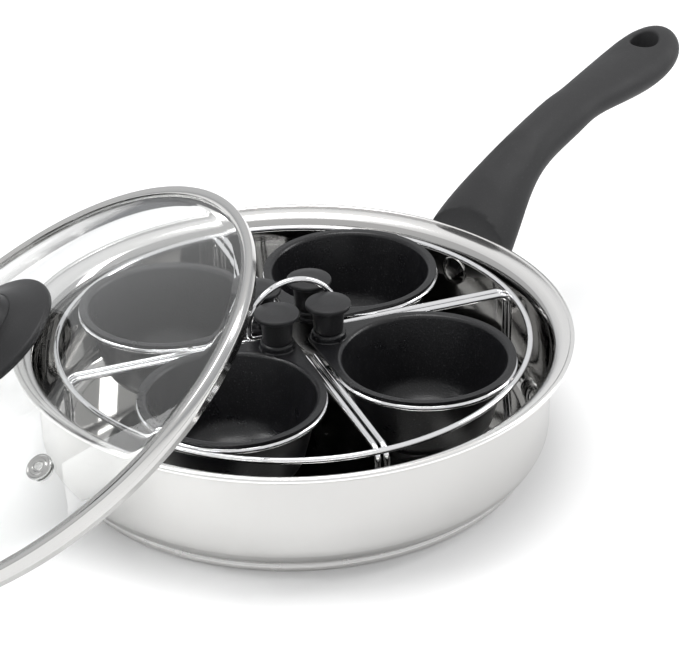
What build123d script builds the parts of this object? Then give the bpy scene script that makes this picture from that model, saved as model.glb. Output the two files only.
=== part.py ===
from build123d import *
from math import acos, asin, cos, degrees, pi, radians, sin, sqrt
import os

# An egg poacher pan: a wide steel pan with a stay-cool handle, a wire rack that stands in it,
# four non-stick cups with upright knobs that hang in the rack, and a domed glass lid with a
# steel band, shown taken off and leaning over the pan's rim.
# Origin: centre of the base on the table. +Z is up and the handle points along +X.
# All lengths are in millimetres and all angles in degrees.

# Pan
wall_radius = 100.0
steel = 0.8
lip_height = 50.7
lip_radius = 110.0
lip_slope = 28.0
lip_curl = 6.4
bead_radius = 1.2
bottom_corner = 8.4
disc_radius = 94.6
disc_height = 4.0
cap_steel = 0.6
cap_edge = 1.4
seat_gap = 0.05
wire_gap = 0.3

# Handle
root_height = 35.3
rivet_head = 6.2
rivet_dome = 1.8
rivet_shank = 3.0
rivet_tail = 4.2
rivet_tail_height = 1.8
bracket_steel = 2.0
bracket_width = 24.0
bracket_foot = 13.0
bracket_reach = 27.0
bracket_knee = 11.0
bracket_slope = 38.0
bracket_bend = 3.0
bracket_depth = 7.5
handle_reach = 149.8
handle_rise = 59.2
handle_width = 42.0
handle_depth = 21.0
hole_radius = 6.1
hole_inset = 17.4
hole_round = 1.2
grip_gap = 0.3
pocket_gap = 0.4
screw_radius = 2.0
screw_head = 3.6
screw_head_height = 1.8
screw_sink = 3.2
overrun = 6.0

# Wire rack
wire = 1.2
rack_radius = 92.5
rack_height = 47.3
cup_ring = 34.8
weld_gap = 0.1
spoke_inner = 18.8
loop_spoke_inner = 10.5
leg_bend = 5.0
loop_radius = 18.5
loop_foot = 7.5
loop_bend = 2.4
loop_leg = 4.0
first_cup = 17.6
cup_names = ("rear", "left", "front", "right")
spoke_names = ("back_spoke", "lid_spoke", "front_spoke", "handle_spoke")

# Egg cups
cup_flange = 35.4
cup_flange_width = 3.6
cup_steel = 1.1
cup_depth = 33.0
cup_taper = 14.0
cup_shoulder = 1.8
cup_bottom_corner = 13.0
knob_reach = 15.0
tab_radius = 7.9
boss_radius = 6.8
boss_height = 3.0
knob_head = 8.9
knob_head_height = 2.8
knob_crown = 1.0
knob_edge = 0.8
knob_height = 13.0
knob_neck = 6.4
knob_root = 5.7
knob_screw = 1.5
knob_screw_head = 3.2
knob_screw_head_height = 1.6
knob_screw_depth = 8.0
thread_gap = 0.05

# Lid
lid_radius = 102.0
band_steel = 0.5
band_cover = 4.2
band_curl = 1.0
band_shelf = 4.0
skirt_depth = 5.2
glass = 3.0
glass_round = 1.0
glass_hole_gap = 0.4
glass_flat = 5.4
dome_height = 18.0
lid_lean = 33.3
lean_direction = 143.5
lid_direction = 162.6
lid_distance = 115.5
vent_distance = 72.0
vent_direction = 93.0
vent_hole = 2.1
vent_tube = 3.1
vent_flange = 5.0
vent_flange_height = 1.2
vent_flare = 4.2
vent_flare_height = 0.8
grip_skirt = 34.5
grip_skirt_edge = 2.8
grip_skirt_lift = 3.2
grip_crease = 17.5
grip_crease_height = 13.0
grip_waist = 14.5
grip_waist_height = 20.0
grip_cap = 19.0
grip_cap_height = 27.0
grip_crown = 5.0
grip_dish = 0.8
grip_boss = 11.0
grip_shell = 3.0
lid_screw = 2.5
lid_screw_head = 5.0
lid_screw_head_height = 2.6
lid_screw_depth = 16.0
washer_radius = 9.0
washer_height = 1.2

# Shares of the handle's reach and rise from the wall to the tip, and of its width and depth
reach_shares = (-0.03, 0.02, 0.076, 0.145, 0.226, 0.345, 0.508, 0.683, 0.83, 0.92, 0.97, 0.993, 1.0)
rise_shares = (-0.125, 0.035, 0.206, 0.364, 0.517, 0.662, 0.777, 0.829, 0.871, 0.928, 0.971, 0.993, 1.0)
width_shares = (1.048, 1.028, 0.974, 0.844, 0.673, 0.558, 0.53, 0.622, 0.739, 0.66, 0.47, 0.27, 0.13)
depth_shares = (1.05, 1.0, 0.95, 0.9, 0.83, 0.77, 0.73, 0.76, 0.84, 0.82, 0.66, 0.42, 0.2)

wall_outer = wall_radius + steel
floor_height = disc_height + steel
curl_turn = 90 - lip_slope
lip_run = lip_radius - bead_radius - wall_outer - lip_curl * (1 - cos(radians(curl_turn)))
lip_length = lip_run / cos(radians(lip_slope))
curl_start = lip_height - bead_radius - lip_length * sin(radians(lip_slope)) - lip_curl * sin(
    radians(curl_turn)
)
os.makedirs("parts", exist_ok=True)


def finish(piece, name):
    """Label a finished piece and write it as its own file."""
    piece.part.label = name
    export_step(piece.part, f"parts/{name}.step")
    print(f"{name}: {len(piece.part.solids())} solid, {piece.part.volume:.0f} mm3")


def upright(angle, origin):
    """An upright plane through a point, with its X axis level at an angle and its Y axis up."""
    return Plane(origin=origin, x_dir=around(1, angle, 0), z_dir=around(1, angle - 90, 0))


def around(radius, angle, height):
    """The point at a radius and an angle from the pan's axis, at a height above the table."""
    return (radius * cos(radians(angle)), radius * sin(radians(angle)), height)


# Pan shell: one pressed wall from the floor to the flared lip, with a rolled bead at the edge
with BuildPart() as pan_shell:
    with BuildSketch(Plane.XZ) as pan_section:
        with BuildLine():
            pan_floor = Line((0, disc_height), (wall_outer - bottom_corner - steel, disc_height))
            pan_corner = JernArc(pan_floor @ 1, pan_floor % 1, bottom_corner + steel, 90)
            pan_side = Line(pan_corner @ 1, (wall_outer, curl_start))
            pan_curl = JernArc(pan_side @ 1, pan_side % 1, lip_curl, -curl_turn)
            PolarLine(pan_curl @ 1, lip_length, angle=lip_slope)
            offset(amount=steel, side=Side.LEFT)
        make_face()
        with Locations((lip_radius - bead_radius, lip_height - bead_radius)):
            Circle(bead_radius)
    revolve(axis=Axis.Z)
    with BuildSketch(Plane.YZ.offset(wall_radius - overrun)):
        with Locations((0, root_height)):
            Circle(rivet_shank + seat_gap)
    extrude(amount=2 * overrun, mode=Mode.SUBTRACT)
finish(pan_shell, "pan_shell")

# The pan's outside, grown by a gap, for cutting what nests against the wall and under the lip
with BuildPart() as pan_outside:
    with BuildSketch(Plane.XZ):
        with BuildLine():
            low = Line((0, -overrun), (wall_outer + grip_gap, -overrun))
            side = Line(low @ 1, (wall_outer + grip_gap, curl_start))
            curl = JernArc(side @ 1, side % 1, lip_curl - grip_gap, -curl_turn)
            under = PolarLine(curl @ 1, lip_length, angle=lip_slope)
            lip_side = Line(under @ 1, (lip_radius + grip_gap, (under @ 1).Y))
            lip_top = Line(lip_side @ 1, (lip_radius + grip_gap, 2 * lip_height))
            Polyline(lip_top @ 1, (0, 2 * lip_height), (0, -overrun))
        make_face()
        with Locations((lip_radius - bead_radius, lip_height - bead_radius)):
            Circle(bead_radius + grip_gap)
    revolve(axis=Axis.Z)

# Encapsulated base: an aluminium disc held under the floor by a thin steel cap
with BuildPart() as base_cap:
    with BuildSketch():
        Circle(disc_radius)
    extrude(amount=disc_height)
    fillet(base_cap.edges().group_by(Axis.Z)[0], radius=cap_edge)
    with BuildSketch(Plane.XY.offset(cap_steel)):
        Circle(disc_radius - cap_steel)
    extrude(amount=disc_height, mode=Mode.SUBTRACT)
finish(base_cap, "base_cap")

with BuildPart() as base_core:
    with BuildSketch(Plane.XY.offset(cap_steel)):
        Circle(disc_radius - cap_steel - seat_gap)
    extrude(amount=disc_height - cap_steel)
    fillet(base_core.edges().group_by(Axis.Z)[0], radius=cap_edge - cap_steel)
finish(base_core, "base_core")

# Handle bracket: a pressed channel, its web on the wall and its two ears inside the grip
foot_x = wall_outer + seat_gap
knee = (foot_x + bracket_knee, root_height + bracket_foot / 2 + bracket_knee * sin(radians(bracket_slope)))
bracket_end = (foot_x + bracket_reach, knee[1] + bracket_reach - bracket_knee - bracket_bend)
ear_points = [
    (foot_x, root_height - bracket_foot / 2),
    (foot_x, root_height + bracket_foot / 2),
    knee,
    bracket_end,
    (bracket_end[0] + bracket_steel, bracket_end[1] - bracket_bend),
    (knee[0] + bracket_bend, knee[1] - bracket_depth),
]
tongue = Vector(*bracket_end) - Vector(*knee)
with BuildPart() as handle_bracket:
    with BuildSketch(Plane.XZ) as ear:
        with BuildLine():
            Polyline(*ear_points, close=True)
        make_face()
    extrude(amount=bracket_width / 2, both=True)
    with BuildSketch(Plane.XZ):
        with BuildLine():
            Polyline(
                (foot_x + bracket_steel, -overrun),
                (foot_x + bracket_steel, root_height + bracket_foot / 2 - bracket_steel),
                (knee[0], knee[1] - bracket_steel),
                (bracket_end[0] + overrun, bracket_end[1] + overrun - bracket_steel),
                (bracket_end[0] + overrun, -overrun),
                close=True,
            )
        make_face()
    extrude(amount=bracket_width / 2 - bracket_steel, both=True, mode=Mode.SUBTRACT)
    with BuildSketch(Plane.YZ.offset(wall_radius - overrun)):
        with Locations((0, root_height)):
            Circle(rivet_shank + seat_gap)
    extrude(amount=2 * overrun, mode=Mode.SUBTRACT)
    screw_seat = Plane(
        origin=((knee[0] + bracket_end[0]) / 2, 0, (knee[1] + bracket_end[1]) / 2),
        x_dir=(0, 1, 0),
        z_dir=(tongue.Y, 0, -tongue.X),
    )
    with BuildSketch(screw_seat.offset(-overrun)):
        Circle(screw_radius + thread_gap)
    extrude(amount=2 * overrun, mode=Mode.SUBTRACT)
finish(handle_bracket, "handle_bracket")

# Bracket rivet: a broad low head inside the pan, a shank through wall and web, an upset tail
rivet_seat = sqrt(wall_radius**2 - rivet_head**2)
rivet_tail_seat = foot_x + bracket_steel + seat_gap
with BuildPart() as handle_rivet:
    with BuildSketch(Plane.XZ):
        with BuildLine():
            crown = TangentArc(
                (rivet_seat - rivet_dome, root_height),
                (rivet_seat, root_height + rivet_head),
                tangent=(0, 1),
            )
            Polyline(
                crown @ 1,
                (rivet_seat, root_height + rivet_shank),
                (rivet_tail_seat, root_height + rivet_shank),
                (rivet_tail_seat, root_height + rivet_tail),
                (rivet_tail_seat + rivet_tail_height, root_height + rivet_shank),
                (rivet_tail_seat + rivet_tail_height, root_height),
                crown @ 0,
            )
        make_face()
    revolve(axis=Axis((0, 0, root_height), (1, 0, 0)))
finish(handle_rivet, "handle_rivet")

# Handle grip: a moulded handle, wide at the root, slim at the thumb and full at the tip
station_points = [
    Vector(wall_outer + handle_reach * reach, 0, root_height + handle_rise * rise)
    for reach, rise in zip(reach_shares, rise_shares)
]
handle_line = Spline(*station_points)
with BuildPart() as handle_grip:
    for point, width, depth in zip(station_points, width_shares, depth_shares):
        along = handle_line % handle_line.param_at_point(point)
        with BuildSketch(Plane(origin=point, x_dir=(0, 1, 0), z_dir=along)):
            Ellipse(handle_width / 2 * width, handle_depth / 2 * depth)
    loft()
    with BuildSketch(Plane.XY.offset(root_height)):
        with Locations((wall_outer + handle_reach - hole_inset, 0)):
            Circle(hole_radius)
    extrude(amount=2 * handle_rise, mode=Mode.SUBTRACT)
    hole_rims = handle_grip.edges(Select.LAST).filter_by(lambda rim: rim.length > pi * hole_radius)
    fillet(hole_rims, radius=hole_round)
    add(pan_outside.part, mode=Mode.SUBTRACT)
    with BuildSketch(Plane.XZ):
        add(ear.sketch)
        offset(amount=pocket_gap)
        with BuildLine():
            Polyline(
                (wall_outer - overrun, ear_points[0][1] - pocket_gap),
                (wall_outer - overrun, ear_points[1][1] + pocket_gap),
                (foot_x + bracket_steel, ear_points[1][1] + pocket_gap),
                (foot_x + bracket_steel, ear_points[0][1] - pocket_gap),
                close=True,
            )
        make_face()
    extrude(amount=bracket_width / 2 + pocket_gap, both=True, mode=Mode.SUBTRACT)
    with BuildSketch(screw_seat):
        Circle(screw_radius + pocket_gap)
    extrude(amount=handle_depth, mode=Mode.SUBTRACT)
    with BuildSketch(screw_seat.offset(handle_depth / 2 - screw_sink)):
        Circle(screw_head + pocket_gap)
    extrude(amount=handle_depth, mode=Mode.SUBTRACT)
finish(handle_grip, "handle_grip")

with BuildPart() as handle_screw:
    with BuildSketch(screw_seat):
        Circle(screw_radius)
    extrude(amount=handle_depth / 2 - screw_sink + seat_gap)
    with BuildSketch(screw_seat.offset(handle_depth / 2 - screw_sink + seat_gap)):
        Circle(screw_head)
    extrude(amount=screw_head_height)
finish(handle_screw, "handle_screw")

# Rack: an outer ring with four cup rings welded inside it, all of one wire
cup_step = 360 / len(cup_names)
cup_distance = rack_radius - 2 * wire - cup_ring - weld_gap
spoke_half_gap = cup_distance * sin(radians(cup_step / 2)) - cup_ring - 2 * wire - weld_gap
with BuildPart() as rack_ring:
    with BuildSketch(Plane.XZ):
        with Locations((rack_radius, rack_height)):
            Circle(wire)
    revolve(axis=Axis.Z)
finish(rack_ring, "rack_ring")

for count, name in enumerate(cup_names):
    centre = around(cup_distance, first_cup + count * cup_step, rack_height)
    with BuildPart() as ring:
        with BuildSketch(upright(first_cup + count * cup_step, centre)):
            with Locations((cup_ring, 0)):
                Circle(wire)
        revolve(axis=Axis(centre, (0, 0, 1)))
    finish(ring, f"{name}_cup_ring")

# Spokes: each a hairpin, two wires side by side over the ring's width that turn down into a leg
leg_radius = rack_radius + leg_bend - sqrt((leg_bend + 2 * wire + weld_gap) ** 2 - leg_bend**2)
leg_turn = leg_bend * (1 - cos(radians(45)))
leg_foot = floor_height + wire_gap + wire
for count, name in enumerate(spoke_names):
    inner = loop_spoke_inner if count % 2 else spoke_inner
    heading = Plane.XY.rotated((0, 0, first_cup + (count + 1 / 2) * cup_step))
    with BuildPart() as spoke:
        with BuildLine(heading):
            for side_gap in (spoke_half_gap, -spoke_half_gap):
                Line((inner, side_gap, rack_height), (leg_radius - leg_bend, side_gap, rack_height))
                ThreePointArc(
                    (leg_radius - leg_bend, side_gap, rack_height),
                    (leg_radius - leg_turn, side_gap, rack_height - leg_turn),
                    (leg_radius, side_gap, rack_height - leg_bend),
                )
                Line(
                    (leg_radius, side_gap, rack_height - leg_bend),
                    (leg_radius, side_gap, leg_foot + spoke_half_gap),
                )
            ThreePointArc(
                (leg_radius, spoke_half_gap, leg_foot + spoke_half_gap),
                (leg_radius, 0, leg_foot),
                (leg_radius, -spoke_half_gap, leg_foot + spoke_half_gap),
            )
        with BuildSketch(heading * Plane.YZ.offset(inner)):
            with Locations((spoke_half_gap, rack_height)):
                Circle(wire)
        sweep()
    finish(spoke, name)

# Lifting loop: a round arch whose feet turn inward and lie between the wires of two spokes
loop_height = rack_height + sqrt((2 * wire + weld_gap) ** 2 - spoke_half_gap**2)
loop_turn = loop_bend * (1 - cos(radians(45)))
heading = Plane.XY.rotated((0, 0, first_cup - cup_step / 2))
with BuildPart() as lifting_loop:
    with BuildLine(heading):
        for end in (-1, 1):
            Line(
                (end * (loop_radius - loop_foot), 0, loop_height),
                (end * (loop_radius - loop_bend), 0, loop_height),
            )
            ThreePointArc(
                (end * (loop_radius - loop_bend), 0, loop_height),
                (end * (loop_radius - loop_turn), 0, loop_height + loop_turn),
                (end * loop_radius, 0, loop_height + loop_bend),
            )
            Line(
                (end * loop_radius, 0, loop_height + loop_bend),
                (end * loop_radius, 0, loop_height + loop_leg),
            )
        ThreePointArc(
            (-loop_radius, 0, loop_height + loop_leg),
            (0, 0, loop_height + loop_leg + loop_radius),
            (loop_radius, 0, loop_height + loop_leg),
        )
    with BuildSketch(heading * Plane.YZ.offset(loop_foot - loop_radius)):
        with Locations((0, loop_height)):
            Circle(wire)
    sweep()
finish(lifting_loop, "lifting_loop")

# Egg cups: each hangs by its rim on a cup ring, with a tab pressed up into a boss for its knob
cup_seat = rack_height + wire + wire_gap
cup_mouth = cup_flange - cup_flange_width + cup_steel
cup_foot = cup_mouth - cup_depth * sin(radians(cup_taper)) / cos(radians(cup_taper))
for count, name in enumerate(cup_names):
    angle = first_cup + count * cup_step
    centre = around(cup_distance, angle, cup_seat)
    knob_centre = around(knob_reach, angle, cup_seat)
    with BuildPart() as egg_cup:
        with BuildSketch(upright(angle, centre)):
            with BuildLine():
                FilletPolyline(
                    (0, -cup_depth),
                    (cup_foot, -cup_depth),
                    (cup_mouth, 0),
                    (cup_flange, 0),
                    radius=[cup_bottom_corner, cup_shoulder - cup_steel],
                )
                offset(amount=cup_steel, side=Side.LEFT)
            make_face()
        revolve(axis=Axis(centre, (0, 0, 1)))
        with BuildSketch(Plane.XY.offset(cup_seat)):
            with Locations(centre):
                Circle(cup_flange)
            with Locations(knob_centre):
                Circle(tab_radius)
            make_hull()
            with Locations(centre):
                Circle(cup_flange - cup_steel, mode=Mode.SUBTRACT)
        extrude(amount=cup_steel)
        with BuildSketch(Plane.XY.offset(cup_seat + cup_steel)):
            with Locations(knob_centre):
                Circle(boss_radius)
        extrude(amount=boss_height)
        with BuildSketch(Plane.XY.offset(cup_seat)):
            with Locations(knob_centre):
                Circle(boss_radius - cup_steel)
        extrude(amount=boss_height, mode=Mode.SUBTRACT)
        with BuildSketch(Plane.XY.offset(cup_seat)):
            with Locations(knob_centre):
                Circle(knob_screw + seat_gap)
        extrude(amount=cup_steel + boss_height, mode=Mode.SUBTRACT)
    finish(egg_cup, f"egg_cup_{name}")

    knob_seat = around(knob_reach, angle, cup_seat + cup_steel + boss_height + seat_gap)
    with BuildPart() as cup_knob:
        with BuildSketch(upright(angle, knob_seat)) as knob_section:
            with BuildLine():
                Polyline(
                    (0, 0),
                    (knob_root, 0),
                    (knob_neck, knob_height - knob_head_height),
                    (knob_head, knob_height - knob_head_height),
                    (knob_head, knob_height - knob_crown),
                )
                TangentArc((0, knob_height), (knob_head, knob_height - knob_crown), tangent=(1, 0))
                Line((0, knob_height), (0, 0))
            make_face()
            fillet(knob_section.vertices().sort_by(Axis.X)[-2:], radius=knob_edge)
        revolve(axis=Axis(knob_seat, (0, 0, 1)))
        with BuildSketch(Plane.XY.offset(knob_seat[2])):
            with Locations(knob_centre):
                Circle(knob_screw + thread_gap)
        extrude(amount=knob_screw_depth, mode=Mode.SUBTRACT)
    finish(cup_knob, f"cup_knob_{name}")

    with BuildPart() as knob_screw_piece:
        with BuildSketch(Plane.XY.offset(cup_seat + boss_height - seat_gap)):
            with Locations(knob_centre):
                Circle(knob_screw)
        extrude(amount=cup_steel + knob_screw_depth)
        with BuildSketch(Plane.XY.offset(cup_seat + boss_height - seat_gap)):
            with Locations(knob_centre):
                Circle(knob_screw_head)
        extrude(amount=-knob_screw_head_height)
    finish(knob_screw_piece, f"knob_screw_{name}")

# Lid: its own plane lies through the top of the band and leans over the pan's rim
skirt_radius = lid_radius - band_shelf
band_step = glass + 2 * (band_steel + seat_gap)
lid_lowest = skirt_radius * sin(radians(lid_lean)) + (band_step + skirt_depth) * cos(radians(lid_lean))
lid_centre = around(lid_distance, lid_direction, lid_lowest)
lid_normal = Vector(*around(sin(radians(lid_lean)), lean_direction, cos(radians(lid_lean))))
downhill = Vector(*around(cos(radians(lid_lean)), lean_direction, -sin(radians(lid_lean))))
lid_level = lid_normal.cross(downhill)
lid_section = Plane(origin=lid_centre, x_dir=downhill, z_dir=-lid_level)
lid_face = Plane(origin=lid_centre, x_dir=downhill, z_dir=lid_normal)
lid_axis = Axis(lid_centre, lid_normal)

glass_edge = lid_radius - band_steel - seat_gap
glass_top = -band_steel - seat_gap
dome_edge = glass_edge - glass_flat
dome_radius = (dome_edge**2 + dome_height**2) / (2 * dome_height)
dome_top = glass_top + dome_height
dome_turn = asin(dome_edge / dome_radius) / 2


def dome_drop(radius, sphere):
    """How far a dome of one sphere falls from its top to a radius."""
    return sphere - sqrt(sphere**2 - radius**2)


vent_out = downhill * cos(radians(vent_direction)) + lid_level * sin(radians(vent_direction))
vent_rise = sqrt(dome_radius**2 - vent_distance**2)
vent_lift = dome_top - dome_radius + vent_rise
vent_centre = Vector(*lid_centre) + vent_out * vent_distance + lid_normal * vent_lift
vent_face = Plane(
    origin=vent_centre,
    x_dir=lid_normal.cross(vent_out),
    z_dir=vent_out * vent_distance + lid_normal * vent_rise,
)
with BuildPart() as lid_glass:
    with BuildSketch(lid_section) as glass_section:
        with BuildLine():
            ThreePointArc(
                (0, dome_top),
                (dome_radius * sin(dome_turn), dome_top - dome_radius * (1 - cos(dome_turn))),
                (dome_edge, glass_top),
            )
            Line((dome_edge, glass_top), (glass_edge, glass_top))
            offset(amount=glass, side=Side.RIGHT)
        make_face()
        fillet(glass_section.vertices().sort_by(Axis.X)[-2:], radius=glass_round)
    revolve(axis=lid_axis)
    with BuildSketch(lid_face):
        Circle(lid_screw + glass_hole_gap)
    extrude(amount=2 * dome_height, mode=Mode.SUBTRACT)
    with BuildSketch(vent_face):
        Circle(vent_tube + seat_gap)
    extrude(amount=2 * glass, both=True, mode=Mode.SUBTRACT)
finish(lid_glass, "lid_glass")

with BuildPart() as lid_band:
    with BuildSketch(lid_section):
        with BuildLine():
            FilletPolyline(
                (lid_radius - band_cover, 0),
                (lid_radius, 0),
                (lid_radius, -band_step),
                (skirt_radius, -band_step),
                (skirt_radius, -band_step - skirt_depth),
                radius=band_curl,
            )
            offset(amount=band_steel, side=Side.RIGHT)
        make_face()
    revolve(axis=lid_axis)
finish(lid_band, "lid_band")

with BuildPart() as lid_vent:
    with BuildSketch(vent_face.offset(seat_gap)):
        Circle(vent_flange)
    extrude(amount=vent_flange_height)
    fillet(lid_vent.edges().sort_by(SortBy.LENGTH)[-2:], radius=vent_flange_height / 3)
    with BuildSketch(vent_face.offset(seat_gap)):
        Circle(vent_tube)
    extrude(amount=-glass - 2 * seat_gap)
    with BuildSketch(vent_face.offset(-glass - seat_gap)):
        Circle(vent_flare)
    extrude(amount=-vent_flare_height)
    with BuildSketch(vent_face):
        Circle(vent_hole)
    extrude(amount=2 * glass, both=True, mode=Mode.SUBTRACT)
finish(lid_vent, "lid_vent")

# Lid knob: a wide hollow skirt over the glass, a waist for the fingers and a rounded cap
grip_low = dome_top - dome_drop(grip_skirt, dome_radius) + grip_skirt_lift
grip_edge = grip_low + grip_skirt_edge
grip_slope = (grip_crease_height + dome_top - grip_edge) / (grip_skirt - grip_crease)
roof_run = grip_skirt - grip_shell - grip_boss
with BuildPart() as lid_knob:
    with BuildSketch(lid_section) as knob_section:
        with BuildLine():
            Polyline((0, dome_top + seat_gap), (grip_boss, dome_top + seat_gap))
            Polyline(
                (grip_boss, dome_top + seat_gap),
                (grip_boss, grip_low + roof_run * grip_slope),
                (grip_skirt - grip_shell, grip_low),
                (grip_skirt, grip_low),
                (grip_skirt, grip_edge),
            )
            ThreePointArc(
                (grip_skirt, grip_edge),
                (
                    (grip_skirt + grip_crease) / 2 - grip_dish * grip_slope,
                    (grip_edge + dome_top + grip_crease_height) / 2 - grip_dish,
                ),
                (grip_crease, dome_top + grip_crease_height),
            )
            ThreePointArc(
                (grip_crease, dome_top + grip_crease_height),
                (grip_waist, dome_top + grip_waist_height),
                (grip_cap, dome_top + grip_cap_height),
            )
            TangentArc(
                (0, dome_top + grip_cap_height + grip_crown),
                (grip_cap, dome_top + grip_cap_height),
                tangent=(1, 0),
            )
            Line((0, dome_top + grip_cap_height + grip_crown), (0, dome_top + seat_gap))
        make_face()
        fillet(knob_section.vertices().sort_by(Axis.X)[-2:], radius=grip_skirt_edge / 3)
    revolve(axis=lid_axis)
    with BuildSketch(lid_face.offset(dome_top)):
        Circle(lid_screw + thread_gap)
    extrude(amount=lid_screw_depth, mode=Mode.SUBTRACT)
finish(lid_knob, "lid_knob")

washer_top = dome_top - glass - dome_drop(washer_radius, dome_radius - glass) - seat_gap
with BuildPart() as lid_washer:
    with BuildSketch(lid_face.offset(washer_top)):
        Circle(washer_radius)
        Circle(lid_screw + seat_gap, mode=Mode.SUBTRACT)
    extrude(amount=-washer_height)
finish(lid_washer, "lid_washer")

with BuildPart() as lid_screw_piece:
    with BuildSketch(lid_face.offset(washer_top - washer_height - seat_gap)):
        Circle(lid_screw)
    extrude(amount=dome_top - washer_top + washer_height + lid_screw_depth)
    with BuildSketch(lid_face.offset(washer_top - washer_height - seat_gap)):
        Circle(lid_screw_head)
    extrude(amount=-lid_screw_head_height)
finish(lid_screw_piece, "lid_screw")
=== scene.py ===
# %% [markdown]
# # An egg poacher pan
# The object is a steel frying pan with a wire rack in it. Four coated cups hang in the rack by
# their rims, and a domed glass lid leans beside them. The measured model is loaded first, so each
# piece made here only has to be drawn in its own place, with nothing left to fit.

# %% Load the measured model
from math import asin, cos, exp, pi, radians, sin, sqrt, tan

import bmesh
import bpy
from mathutils import Matrix, Vector


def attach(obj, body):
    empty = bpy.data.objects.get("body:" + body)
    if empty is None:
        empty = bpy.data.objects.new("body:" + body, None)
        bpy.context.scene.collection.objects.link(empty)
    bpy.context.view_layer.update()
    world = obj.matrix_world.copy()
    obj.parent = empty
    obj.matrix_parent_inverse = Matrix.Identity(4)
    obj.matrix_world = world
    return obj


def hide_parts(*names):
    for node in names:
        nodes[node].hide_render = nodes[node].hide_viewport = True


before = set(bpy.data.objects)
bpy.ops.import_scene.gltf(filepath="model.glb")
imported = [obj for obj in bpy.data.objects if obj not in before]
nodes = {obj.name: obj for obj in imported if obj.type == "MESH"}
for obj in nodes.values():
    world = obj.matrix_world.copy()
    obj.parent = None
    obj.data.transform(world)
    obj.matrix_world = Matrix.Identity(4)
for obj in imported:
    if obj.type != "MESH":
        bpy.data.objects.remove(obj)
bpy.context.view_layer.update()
print("measured nodes:", len(nodes))

# %% [markdown]
# ## The camera
# A product photographer stands back with a long lens, so that near and far parts of the pan keep
# their true proportions. The camera here stands one metre from the pan and looks down on it by
# about thirty degrees, over the corner where the lid leans. It could be aimed with a tracking
# rule, but plain angles keep the small roll of the picture as well.

# %% Place the camera
CAMERA_PLACE = (-0.62204, -0.58006, 0.52593)
CAMERA_ANGLES = (60.8081, 0.853, -48.6861)
LENS, SENSOR = 131.85, 36.0

camera_data = bpy.data.cameras.new("camera")
camera_data.lens = LENS
camera_data.sensor_width = SENSOR
camera = bpy.data.objects.new("camera", camera_data)
camera.location = CAMERA_PLACE
camera.rotation_euler = [radians(angle) for angle in CAMERA_ANGLES]
bpy.context.scene.collection.objects.link(camera)
bpy.context.scene.camera = camera
print("camera distance:", round(Vector(CAMERA_PLACE).length, 3))

# %% [markdown]
# ## The studio
# Polished metal shows its surroundings more than itself. A white sky alone would leave it flat,
# so the sky grows from a pale grey at the horizon to white above, and three soft lamps add the
# long clean highlights. The key lamp is kept out of reflections, because the lid's glass would
# show it as a hard patch. The floor is a plain pale sheet that is large enough for every view.

# %% Light the sky
scene = bpy.context.scene
scene.view_settings.view_transform = "Standard"
HORIZON, LOW_SKY, TOP_SKY = (0.62, 0.63, 0.65, 1), (0.86, 0.87, 0.88, 1), (1.0, 1.0, 1.0, 1)
LOW_SKY_AT, TOP_SKY_AT = 0.22, 0.9
SKY_STRENGTH = 0.85

world = bpy.data.worlds.new("studio_sky")
scene.world = world
world.use_nodes = True
sky = world.node_tree
background = sky.nodes["Background"]
sky_way = sky.nodes.new("ShaderNodeTexCoord")
sky_split = sky.nodes.new("ShaderNodeSeparateXYZ")
sky_ramp = sky.nodes.new("ShaderNodeValToRGB")
sky.links.new(sky_way.outputs["Generated"], sky_split.inputs["Vector"])
sky.links.new(sky_split.outputs["Z"], sky_ramp.inputs["Fac"])
sky.links.new(sky_ramp.outputs["Color"], background.inputs["Color"])
sky_steps = sky_ramp.color_ramp.elements
sky_steps[0].position, sky_steps[0].color = 0.0, HORIZON
sky_steps[1].position, sky_steps[1].color = TOP_SKY_AT, TOP_SKY
low_sky = sky_steps.new(LOW_SKY_AT)
low_sky.color = LOW_SKY
background.inputs["Strength"].default_value = SKY_STRENGTH
print("sky strength:", SKY_STRENGTH)

# %% Hang the lamps
PAN_MIDDLE, PAN_FOOT = (0, 0, 0.05), (0, 0, 0)


def soft_lamp(name, place, target, width, height, power):
    """Hangs one rectangular lamp that faces a target."""
    lamp_data = bpy.data.lights.new(name, "AREA")
    lamp_data.shape = "RECTANGLE"
    lamp_data.size, lamp_data.size_y = width, height
    lamp_data.energy = power
    lamp = bpy.data.objects.new(name, lamp_data)
    lamp.location = place
    lamp.rotation_euler = (Vector(target) - Vector(place)).to_track_quat("-Z", "Y").to_euler()
    scene.collection.objects.link(lamp)
    return lamp


key_lamp = soft_lamp("key_lamp", (-0.7, 0.7, 1.3), PAN_MIDDLE, width=0.9, height=0.6, power=8.0)
key_lamp.visible_glossy = False
soft_lamp("side_lamp", (1.2, -0.7, 0.8), PAN_MIDDLE, width=0.3, height=1.1, power=7.0)
soft_lamp("top_lamp", (0.1, 0.1, 1.5), PAN_FOOT, width=0.7, height=0.7, power=8.0)

# %% Lay the floor
FLOOR_SIZE = 6.0
floor_mesh = bpy.data.meshes.new("floor")
floor_bm = bmesh.new()
bmesh.ops.create_grid(floor_bm, x_segments=1, y_segments=1, size=FLOOR_SIZE / 2)
floor_bm.to_mesh(floor_mesh)
floor_bm.free()
floor = bpy.data.objects.new("floor", floor_mesh)
scene.collection.objects.link(floor)
print("floor:", FLOOR_SIZE, "m square")

# %% [markdown]
# ## Finishes: how a material is put together
# Every finish below is one Principled shader, because that is what a game engine or a renderer can
# read later. What several finishes share, such as fine lathe lines, smudges or moulded grain,
# is built once as a group with named inputs and outputs, like a stamp that each finish then
# presses with its own strength.

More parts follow.
